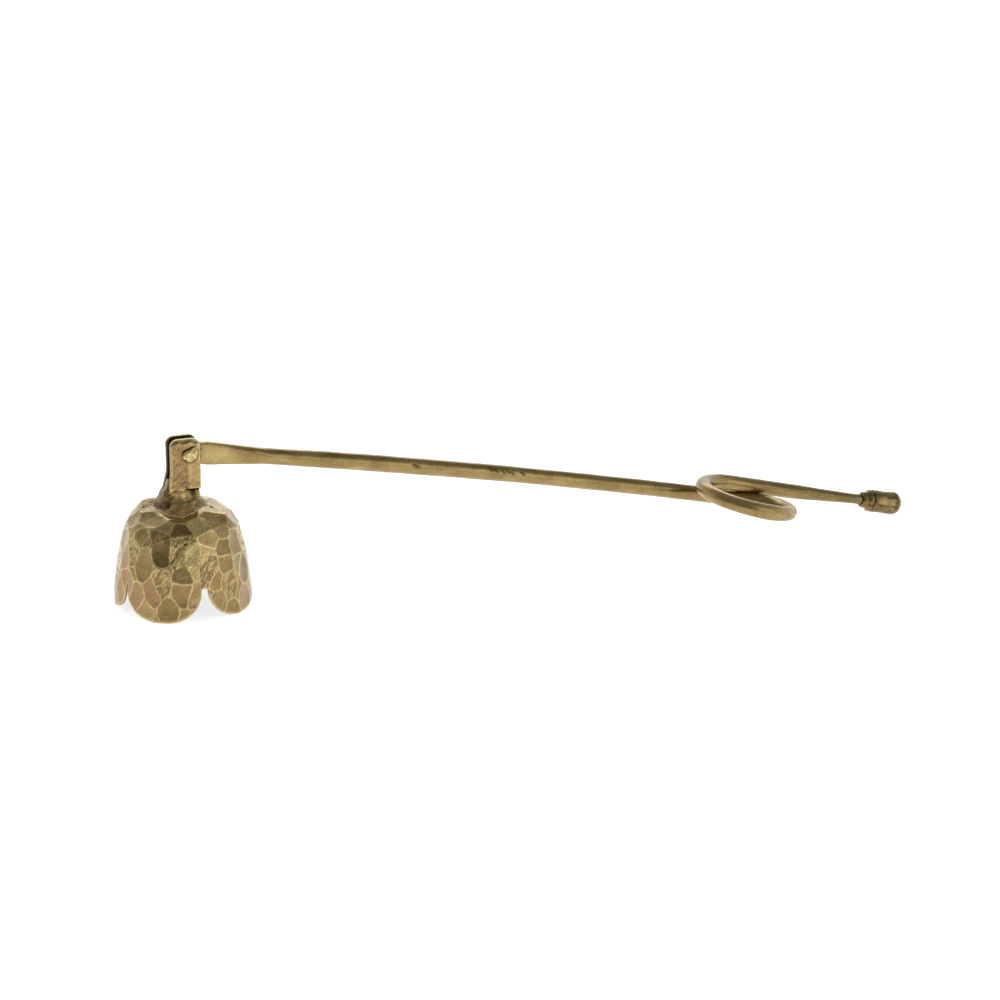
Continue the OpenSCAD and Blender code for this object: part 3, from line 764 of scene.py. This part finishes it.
def make_cheek(name, face_y, seed, detail):
    """A cheek with its rivet hole. face_y is its outer face; detail is 1 on the near one, else 0."""
    count = 300
    ring, inward = cheek_outline(count)
    side = math.copysign(1, face_y)
    top = step(ring[:, 1], 47.6, 48.9)
    hole_turn = np.arctan2(ring[:, 1] - PIN_Z, ring[:, 0] - PIN_X)
    hole = np.stack([np.cos(hole_turn), np.sin(hole_turn)], axis=-1) * (PIN_R + 0.02) + [PIN_X, PIN_Z]
    back_y = face_y - side * CHEEK_T
    wide = 0.34 + top * (0.8 + 0.22 * np.sin(ring[:, 0] * 1.7 + 0.6))
    deep = 0.3 + 0.25 * top
    rows = []
    for t in np.linspace(0, 1, 34):                      # outer face, from the hole to the bevel
        inner_edge = ring + inward * wide[:, None]
        rows.append((hole + (inner_edge - hole) * t, np.full(count, face_y)))
    for down, out in ((0.06, 0.16), (0.42, 0.5), (0.86, 0.9), (1.0, 1.0)):   # bevel, nearly flat
        rows.append((ring + inward * (wide * (1 - out))[:, None], face_y - side * deep * down))
    for t in (0.35, 0.7):                                # narrow side
        rows.append((ring, (face_y - side * deep) * (1 - t) + (back_y + side * 0.12) * t))
    rows.append((ring, np.full(count, back_y + side * 0.12)))
    for t in np.linspace(1, 0, 12):                      # inner face, back to the hole
        rows.append((hole + (ring + inward * 0.12 - hole) * t, np.full(count, back_y)))
    points = np.stack([np.column_stack([xz[:, 0], y, xz[:, 1]]) for xz, y in rows])
    x, z = points[..., 0], points[..., 2]
    lean = neck_flare(z) * (detail + REAR_FLARE * (1 - detail))
    points[..., 0] -= lean * np.clip((FORK_X - x) / (FORK_W / 2), 0, 1)
    points[..., 2] -= detail * 1.3 * step(-x, -0.9, 1.0) * step(-z, -36.8, -34.6)

    def on_rows(first, levels):
        """A level for each row: those given, from one row on, and 0 elsewhere."""
        column = np.zeros((len(rows), 1))
        column[first:first + len(levels), 0] = levels
        return column

    face = on_rows(2, [1.0] * 33 + [0.6, 0.4, 0.2])
    rough_side = 1 - 0.75 * step(x, 1.6, 3.6) * (1 - step(z, 45, 47))
    rough = (0.085 * lumps(points, 2.0, seed) + 0.05 * lumps(points, 0.9, seed + 1)) * rough_side
    crease = np.maximum(groove(points, (0.55, face_y, 45.75), (3.3, face_y, 46.95), 0.32),
                        0.7 * groove(points, (3.3, face_y, 46.95), (4.2, face_y, 47.35), 0.2))
    seat = groove(points, (0.15, face_y, 45.5), (0.9, face_y, 43.4), 0.25)
    fold = groove(points, (-0.9, face_y, 36.6), (1.6, face_y, 36.9), 0.16)
    lower_lip = step(z, 35.1, 34.6)
    push = rough - detail * (0.26 * crease + 0.12 * seat + 0.12 * fold) - 0.07
    sway = 0.12 * lumps(points * np.array([1, 0, 1]), 6.0, seed + 2)
    points[..., 1] += side * (push * face + np.clip(sway, -0.12, 0.0) * (face > 0))
    rim = fade(np.arange(len(rows)) - 34, 1.6)[:, None]
    copper = spot(points, (-0.1, face_y, 35.8), 1.2) + 0.6 * spot(points, (-1.9, face_y, 38.5), 1.0)
    # The inner faces, in the slot, and the far cheek's narrow side are painted dark as shade
    inner_face = on_rows(40, [1.0] * 13)
    flank = on_rows(36, [1.0] * 5) * (1 - top) * step(z, 36.5, 38)
    # A painted highlight along the top edge and painted shade on the bevel below it
    top_strip = on_rows(36, [0.7] + [1.0] * 4) * top
    bevel = on_rows(33, [0.6, 1, 1]) * top
    # Painted shadow round the rivet head's lower edge
    below_crease = step(0.45 * (x - PIN_X) - 0.9 * (z - PIN_Z), -1.4, 0.2)
    round_head = fade(np.hypot(x - PIN_X, z - PIN_Z) - 2.42, 0.16) * below_crease
    # Dark in the crease over the rivet and along its left side as painted shadow, on the bevel as
    # painted shade, and in the low fold
    shade_and_grime = 0.85 * crease + 0.6 * seat + 0.6 * fold + 0.35 * bevel + 0.6 * round_head
    worn_face = 0.3 * clipped(lumps(points, 1.3, seed + 3)) + 0.5 * lower_lip
    return ring_mesh(
        name, points,
        # Rubbed edges and face, and the top strip as a painted highlight
        wear=clipped(0.75 * rim * (1 - top) + 0.5 * top_strip + worn_face * face),
        # Tone: random, lighter on the smoother right part, lighter on the top strip as a painted
        # highlight, and darker on the bevel, the inner face and the far cheek's side as painted shade
        tone=(0.15 * lumps(points, 1.8, seed + 4) - 0.12 + 0.5 * step(x, 0.6, 2.6)) * face
             + 0.6 * top_strip * (0.5 + 0.5 * detail) - 0.9 * bevel
             - 0.5 * inner_face - (1 - detail) * 0.9 * flank,
        scuff=0.35 * rough_side * step(-x, -1.8, -0.6) * face
              * clipped(0.4 + lumps(points, 2.2, seed + 7)),
        blush=clipped(detail * 1.2 * copper + 0.35 * lumps(points, 2.6, seed + 5)) * face,
        # Dark: the near cheek's painted shadows and shade, and the inner face and the far cheek's
        # side as painted shade
        dirt=clipped(detail * shade_and_grime * face + 0.75 * inner_face + (1 - detail) * 0.55 * flank),
        wrap_rows=True,
    )


# ---------------------------------------------------------------- hinge pin


def make_pin():
    """The rivet: a round shaft, a plain dome at the back and a rough, lopsided head at the front."""
    cols = 160
    turn = full_turn(cols)
    back_r = 2.3 * (1 + 0.04 * np.sin(3 * turn) + 0.03 * np.sin(5 * turn + 1))
    # Turn 0 points along +X and a quarter turn points up: the front head comes to a point low down
    point_down = fade((turn - math.pi / 2) % (2 * math.pi) - math.pi, 0.55)
    front_r = 2.2 * (1 + 0.12 * np.sin(2 * turn + 0.35) + 0.1 * point_down + 0.025 * np.sin(6 * turn))
    off_crease = np.cos(turn - math.radians(116))
    front_r = np.minimum(front_r, 1.62 / np.maximum(off_crease, 0.3))
    face = FORK_T / 2
    rows = []
    for a in np.radians([84, 66, 48, 32, 18, 7, 0]):
        rows.append((back_r * math.cos(a), face + 0.8 * math.sin(a)))
    rows += [(np.full(cols, PIN_R), y) for y in np.linspace(face - 0.01, -face + 0.12, 14)]
    for a in np.radians([0, 6, 14, 24, 34, 44, 54, 64, 74, 84]):
        rows.append((front_r * math.cos(a) ** 0.55, -face + 0.1 - 0.8 * math.sin(a)))
    c, s = np.cos(turn), np.sin(turn)
    points = np.stack([np.column_stack([PIN_X + r * c, np.full(cols, y), PIN_Z + r * s])
                       for r, y in rows])
    front = step(-points[..., 1], face - 0.1, face + 0.15)
    back = step(points[..., 1], face + 0.02, face + 0.2)
    dent = spot(points, (3.3, -3.9, 45.9), 0.6)
    rough = 0.07 * lumps(points, 1.3, 51) + 0.03 * lumps(points, 0.6, 52) - 0.08 * dent
    points = pushed(points, front * rough + back * 0.05 * lumps(points, 1.4, 53))
    base_ring = fade(np.abs(points[..., 1]) - face, 0.12)
    head = np.maximum(front, back)
    return ring_mesh(
        "HingePin", points,
        wear=clipped(0.35 + 0.6 * lumps(points, 0.9, 54)) * head,
        tone=(0.45 + 0.3 * lumps(points, 0.8, 55)) * head,
        blush=clipped(0.2 * lumps(points, 2.0, 56)),
        dirt=clipped(0.8 * base_ring * (1 - head) + 0.5 * dent * front),
    )


# ---------------------------------------------------------------- handle rod


def line_z(x):
    return AXIS_Z - FALL * x - DROOP * x * x


LOOP_TILT = math.atan(FALL + 2 * DROOP * LOOP_X)
AHEAD = np.array([math.cos(LOOP_TILT), 0, -math.sin(LOOP_TILT)])
ABOVE = np.array([math.sin(LOOP_TILT), 0, math.cos(LOOP_TILT)])
NEAR = np.array([0, -1, 0])
KNOB_DIR = np.array([math.cos(KNOB_TILT), 0, -math.sin(KNOB_TILT)])
KNOB_MID = np.array([KNOB_X, 0, KNOB_ROUND + (KNOB_L / 2 - KNOB_ROUND) * math.sin(KNOB_TILT)
                     + (KNOB_R - KNOB_ROUND) * math.cos(KNOB_TILT)])
KNOB_MOUTH = KNOB_MID - (KNOB_L / 2 + 0.8) * KNOB_DIR
SOCKET_END = KNOB_MID - (KNOB_L / 2 - 4.3) * KNOB_DIR
BEYOND = 999.0
NOSE_ROWS = 12
TAIL_ROWS = 70


def loop_point(turn):
    a = math.radians(turn)
    return (np.array([LOOP_X, 0, line_z(LOOP_X)]) + LOOP_R * math.sin(a) * AHEAD
            + (LOOP_R * (1 - math.cos(a)) + LOOP_DRIFT * turn / 360) * NEAR
            + (LOOP_RISE * math.sin(a / 4) + LOOP_LIFT * (1 - math.cos(a)) / 2) * ABOVE)


def handle_line():
    """The rod's centreline, from the tongue's end past the pin to the bottom of the knob's socket."""
    nose = PIN_X - TONGUE[0] * np.cos(np.linspace(0, math.pi / 2, NOSE_ROWS)[:-1])
    shaft = np.arange(PIN_X, LOOP_X, 0.5)
    line = [(x, 0, line_z(x)) for x in np.concatenate([nose, shaft])]
    line += [loop_point(a) for a in np.linspace(0, 360, 190)]
    end = loop_point(360)
    line += [end + (KNOB_MOUTH - end) * t - np.array([0, 0, TAIL_SAG * math.sin(math.pi * t)])
             for t in np.linspace(0, 1, TAIL_ROWS)[1:]]
    line += [SOCKET_END]
    return np.array(line)


def on_shaft_side(x, angle):
    """A point on the near side of the shaft, at an angle above level."""
    a = math.radians(angle)
    return x, -ROD_R * math.cos(a), line_z(x) + ROD_R * math.sin(a)


def make_rod():
    line = handle_line()
    count = len(line)
    run = unit(np.gradient(line, axis=0))
    run[:NOSE_ROWS] = run[NOSE_ROWS + 2]
    side = unit(np.cross(run, ABOVE))
    up = np.cross(side, run)
    along = distances(line) - TONGUE[0]
    on_shaft = np.arange(count) < NOSE_ROWS + len(np.arange(PIN_X, LOOP_X, 0.5))
    # How far from the pin along the shaft, and further than any change in section beyond it
    x = np.where(on_shaft, line[:, 0] - PIN_X, BEYOND)
    tail_from, tail_to = along[-TAIL_ROWS - 1], along[-2]
    radius = ROD_R + (TAIL_R - ROD_R) * step((along - tail_from) / (tail_to - tail_from), 0.4, 1.0)
    radius = radius + 0.1 * hump(x, 15, 30, 80, 110)
    tall = TONGUE[0] + 0.28 * step(x, 3.5, 6) + (radius - TONGUE[0] - 0.28) * step(x, 1.5, 24)
    wide = TONGUE[1] - 0.02 + (radius - TONGUE[1] + 0.02) * step(x, 11, 24)
    power = 7 - 5 * step(x, 7, 24)
    # The nose is a half round about the pin
    tall = np.where(x < 0, np.sqrt(np.maximum(TONGUE[0] ** 2 - x**2, 0.02)), tall)
    turn = full_turn(72)
    c, s = np.cos(turn), np.sin(turn)
    over, high = squared(c, power[:, None]), squared(s, power[:, None])
    # A flat filed along the top edge of the bar dies out where the rod turns round
    top_flat = 1 - step(x, 16, 34)
    trim = clipped(high + 0.55 * np.abs(over) - 1.36 + 0.2 * step(x, 0, 22)[:, None])
    trim = trim * top_flat[:, None]
    high = high - trim * 0.55
    over = over - np.sign(over) * trim * 0.5
    points = (line[:, None] + side[:, None] * (over * wide[:, None])[..., None]
              + up[:, None] * (high * tall[:, None])[..., None])

    visible = step(x, 3.5, 6)[:, None] * step(count - np.arange(count), 2, 4)[:, None]
    wobble = sum(deep * lumps(points, size, seed)
                 for deep, size, seed in ((0.045, 11, 61), (0.012, 3.2, 62), (0.003, 1.1, 63)))
    flats = 0.035 * np.cos(4 * turn + 0.6) * (step(x, 20, 40) * on_shaft)[:, None]
    # Nicks on the near side, each by its X and its angle above level
    nicks = groove(points, on_shaft_side(70.0, 26), on_shaft_side(71.2, 12), 0.55)
    for nick_x, angle in ((93.8, 52), (95.4, 46), (97.6, 38), (99.2, 42), (100.6, 36), (103.8, 38)):
        lower_end = on_shaft_side(nick_x + 0.7, angle - 20)
        nicks += groove(points, on_shaft_side(nick_x, angle), lower_end, 0.38)
    push = wobble + flats - 0.14 * np.minimum(nicks, 1) - 0.06 * (1 - on_shaft[:, None])
    points = pushed(points, push * visible)
    # The rod as if laid straight and drawn short, so that its marks run along it
    straight = np.stack(np.broadcast_arrays(0.25 * along[:, None], ROD_R * c, ROD_R * s), axis=-1)
    upper = step(high, 0.25, 0.75)
    on_tail = step(along - tail_from, 0, 20)
    under_bar = step(np.abs(high), 0.8, 1.0) * (1 - step(x, 14, 26))[:, None]
    smear = groove(points, (167.0, -26.4, 17.6), (171.5, -27.0, 17.2), 0.9)
    # A painted shadow on the bar just beyond the near cheek's edge
    shade_and_grime = fade(np.hypot(points[..., 0] - PIN_X, points[..., 2] - PIN_Z) - 3.85, 0.2)
    # A painted highlight on the loop's near strand
    gleam = groove(points, (173.5, -28.4, 15.6), (177.0, -27.8, 15.0), 0.6)
    rod = ring_mesh(
        "HandleRod", points,
        # The bar's top and bottom near the pin, rubbing along the shaft, and the painted highlight on
        # the loop
        wear=clipped(0.55 * under_bar + 0.1 * lumps(straight, 2.0, 64) * step(x, 12, 24)[:, None]
                     + 0.8 * gleam),
        # Tone: random along the rod; darker on its upper side as painted shade and lighter underneath
        # near the pin as a painted highlight; darker along the tail; lighter on the upper side of the
        # loop's near strand as a painted highlight
        tone=0.2 * lumps(straight, 4.0, 65) - 0.5 * step(high, -0.3, 1.0) * step(x, 10, 24)[:, None]
             + 0.3 * (1 - step(x, 18, 40))[:, None] * (1 - upper) - 0.65 * on_tail[:, None]
             + 0.45 * step(-points[..., 1], 12, 24) * upper,
        blush=clipped(0.35 * lumps(straight, 4.5, 66)),
        # Dark: the nicks and a smear, and the painted shadow past the cheek's edge
        dirt=clipped(0.85 * nicks + 0.5 * smear + 0.8 * shade_and_grime),
    )
    bore(rod)
    return rod


def bore(rod):
    """Cuts the pin's hole through the tongue."""
    cutter_mesh = bpy.data.meshes.new("Bore")
    drill = bmesh.new()
    bmesh.ops.create_cone(drill, cap_ends=True, segments=64, radius1=(PIN_R + BORE_GAP) * MM,
                          radius2=(PIN_R + BORE_GAP) * MM, depth=6 * MM)
    drill.to_mesh(cutter_mesh)
    drill.free()
    cutter = added("Bore", cutter_mesh)
    cutter.rotation_euler = (math.pi / 2, 0, 0)
    cutter.location = Vector((PIN_X, 0, PIN_Z)) * MM
    cut = rod.modifiers.new("Bore", "BOOLEAN")
    cut.operation = "DIFFERENCE"
    cut.solver = "EXACT"
    cut.object = cutter
    bpy.context.view_layer.update()
    bored = rod.evaluated_get(bpy.context.evaluated_depsgraph_get())
    finished = bpy.data.meshes.new_from_object(bored)
    rod.modifiers.clear()
    rod.data = finished
    bpy.data.objects.remove(cutter)


# ---------------------------------------------------------------- end knob


def make_knob():
    """A turned knob with a ring and groove at its neck and a flat filed along its near side."""
    cols = 200
    turn = full_turn(cols)
    socket_r, neck_r = TAIL_R + 0.05, KNOB_R - 0.9
    # How far from the knob's mouth, and the radius there: first the socket, then the outside
    profile = [(4.5, 0.3), (4.5, socket_r * 0.98), (4.2, socket_r), (2.0, socket_r), (0.15, socket_r),
               (0.0, socket_r + 0.12)]
    socket_rows = len(profile)
    for a in np.radians(np.linspace(0, 90, 8)):
        profile.append((0.8 - 0.8 * math.cos(a), neck_r - 0.8 + 0.8 * math.sin(a)))
    profile += [(far, KNOB_R - short) for far, short in (
        (1.2, 0.9), (1.5, 0.88), (1.75, 0.7), (2.1, 0.38), (2.5, 0.14), (2.9, 0.05), (3.1, 0.04),
        (3.2, 0.12), (3.3, 0.36), (3.45, 0.4), (3.55, 0.34), (3.68, 0.1), (3.8, 0.02))]
    profile += [(d, KNOB_R) for d in np.arange(4.1, KNOB_L - KNOB_ROUND - 0.1, 0.22)]
    for a in np.radians(np.linspace(0, 87, 24)):
        profile.append((KNOB_L - KNOB_ROUND * (1 - math.sin(a)),
                        KNOB_R - KNOB_ROUND * (1 - math.cos(a))))
    profile.append((KNOB_L, 0.6))
    depth, radius = np.array(profile).T
    across = np.array([0, -1.0, 0])
    upward = np.cross(across, KNOB_DIR)
    upward = upward * math.copysign(1, upward[2])
    start = KNOB_MID - KNOB_DIR * KNOB_L / 2
    r = radius[:, None] * np.ones(cols)
    outside = (np.arange(len(profile)) >= socket_rows)[:, None]
    # The filed flat lies on the near side, a little above the middle, and stops short of both ends
    flat_at, half_flat = math.radians(17), math.radians(21)
    facing = np.cos(turn - flat_at)
    limit = KNOB_R - 0.22 + 0.3 * (1 - hump(depth, 4, 5, KNOB_L - 3.4, KNOB_L - 2))
    high_side = r * facing
    r = np.where(outside & (high_side > limit[:, None]), limit[:, None] / np.maximum(facing, 0.2), r)
    points = (start + depth[:, None, None] * KNOB_DIR + r[..., None] * (
        np.cos(turn)[None, :, None] * across + np.sin(turn)[None, :, None] * upward))
    edge_up = fade(turn - flat_at - half_flat, 0.06)
    edge_down = fade(turn - 2 * math.pi - flat_at + half_flat, 0.06)
    long_part = hump(depth, 4.2, 5.2, KNOB_L - 3, KNOB_L - 1.6)[:, None]
    scores = np.maximum(edge_up * 0.6, edge_down) * long_part
    pits = (spot(points, start + KNOB_DIR * 1.9 - np.array([0, 3.2, 0.9]), 0.4)
            + spot(points, start + KNOB_DIR * 2.7 - np.array([0, 3.3, 0.8]), 0.35))
    body = outside * step(depth, 0.1, 0.5)[:, None]
    push = 0.07 * lumps(points, 3.6, 71) + 0.03 * lumps(points, 1.2, 72) - 0.11
    points = pushed(points, body * (push - 0.14 * scores - 0.2 * pits))
    points[..., 2] = np.maximum(points[..., 2], 0.02)
    ring_dirt = fade(depth - 3.42, 0.16)[:, None]
    flat_zone = step(facing, 0.93, 0.95) * long_part
    ring_zone = hump(depth, 1.9, 2.3, 3.0, 3.3)[:, None]
    rubbed_flat = flat_zone * clipped(0.5 + lumps(points, 1.2, 76))
    return ring_mesh(
        "EndKnob", points,
        wear=clipped(0.3 * lumps(points, 1.6, 73) + 0.25 * rubbed_flat + 0.25 * ring_zone) * outside,
        tone=0.3 * lumps(points, 2.0, 74) + 0.3 * flat_zone - 0.1,
        blush=clipped(0.35 * lumps(points, 2.5, 75)),
        # Dark: the flat's scored edges, the pits and the ring's groove, and the socket's inside
        # painted fully dark as shade
        dirt=clipped(0.75 * scores + 0.9 * pits + 0.7 * ring_dirt + (1 - outside)),
    )


# ---------------------------------------------------------------- put together

place(make_bell(), bell_metal, "bell_assembly", "bell")
place(make_neck_post(), neck_metal, "bell_assembly", "neck_post")
near_cheek = make_cheek("FrontCheek", -FORK_T / 2, 101, 1.0)
far_cheek = make_cheek("RearCheek", FORK_T / 2, 131, 0.0)
place(near_cheek, cheek_metal, "bell_assembly", "front_cheek")
place(far_cheek, cheek_metal, "bell_assembly", "rear_cheek")
place(make_braze(), braze_metal, "bell_assembly", "braze_fillet")
place(make_pin(), rivet_metal, "bell_assembly", "hinge_pin")
place(make_rod(), rod_metal, "handle", "handle_rod")
place(make_knob(), knob_metal, "handle", "end_knob")


# ---------------------------------------------------------------- studio


FLOOR_REACH = 15.0     # metres


def make_floor():
    """A pale lit table, evenly bright, that still takes a faint contact shadow."""
    mesh = bpy.data.meshes.new("Floor")
    corners = [(x * FLOOR_REACH, y * FLOOR_REACH, 0) for x, y in ((-1, -1), (1, -1), (1, 1), (-1, 1))]
    mesh.from_pydata(corners, [], [(0, 1, 2, 3)])
    s = Shades("PaleTable")
    s.shade(Base_Color=colour(0.86, 0.86, 0.86), Roughness=0.9, Specular_IOR_Level=0.1,
            Emission_Color=colour(1, 1, 1), Emission_Strength=0.78)
    mesh.materials.append(s.material)
    added("Floor", mesh)


def make_room():
    """Studio light all round: a pale band near the horizon, dimmer overhead and on the near side."""
    world = bpy.data.worlds.new("Studio")
    bpy.context.scene.world = world
    world.use_nodes = True
    n = Nodes(world.node_tree)
    toward = n.node("TexCoord").outputs["Generated"]
    height = n.node("SeparateXYZ", {0: toward}).outputs["Z"]

    def band(stops):
        ramp = n.node("ValToRGB", {"Fac": height})
        while len(ramp.color_ramp.elements) < len(stops):
            ramp.color_ramp.elements.new(0.5)
        for element, (place_at, level) in zip(ramp.color_ramp.elements, stops):
            element.position = place_at
            element.color = (level, level, level * 0.985, 1)
        return ramp.outputs["Color"]

    far = band([(0.0, 1.2), (0.42, 1.12), (0.62, 0.48), (1.0, 0.36)])
    near = band([(0.0, 1.1), (0.07, 0.65), (0.25, 0.3), (1.0, 0.36)])
    to_near = n.node("VectorMath", {0: toward, 1: (-0.35, -0.94, 0)}, operation="DOT_PRODUCT")
    share = n.ramp(to_near.outputs["Value"], -0.2, 0.55)
    background = n.tree.nodes["Background"]
    n.put(n.blend(share, far, near), background.inputs["Color"])
    background.inputs["Strength"].default_value = 1.0


def toward_viewer(azimuth, elevation):
    """The direction at an azimuth, 0 being the -Y side, and an elevation, both in degrees."""
    a, e = math.radians(azimuth), math.radians(elevation)
    return Vector((math.sin(a) * math.cos(e), -math.cos(a) * math.cos(e), math.sin(e)))


def make_lamp(name, azimuth, elevation, distance, size, power):
    """A soft box that looks at the object."""
    data = bpy.data.lights.new(name, "AREA")
    data.shape = "RECTANGLE"
    data.size, data.size_y = size
    data.energy = power
    lamp = added(name, data)
    aim = Vector((0.09, 0, 0.02))
    lamp.location = aim + distance * toward_viewer(azimuth, elevation)
    lamp.rotation_euler = (aim - lamp.location).to_track_quat("-Z", "Y").to_euler()


VIEW_DISTANCE = 1.0    # metres


def make_camera():
    """The photo's viewing angle, found by fitting the CAD model's outline to it."""
    data = bpy.data.cameras.new("Camera")
    data.sensor_width = 36
    data.lens = 121.16
    camera = added("Camera", data)
    back = toward_viewer(-20.58, 18.07)
    camera.location = Vector((0.09777, 0, 0.01944)) + back * VIEW_DISTANCE
    camera.rotation_euler = back.to_track_quat("Z", "Y").to_euler()
    bpy.context.scene.camera = camera


make_floor()
make_room()
make_lamp("KeyBox", 34, 22, 1.6, (0.9, 0.9), 3.6)
make_lamp("BackBox", 165, 35, 1.6, (1.2, 0.6), 5)
make_camera()
bpy.context.scene.view_settings.view_transform = "Standard"
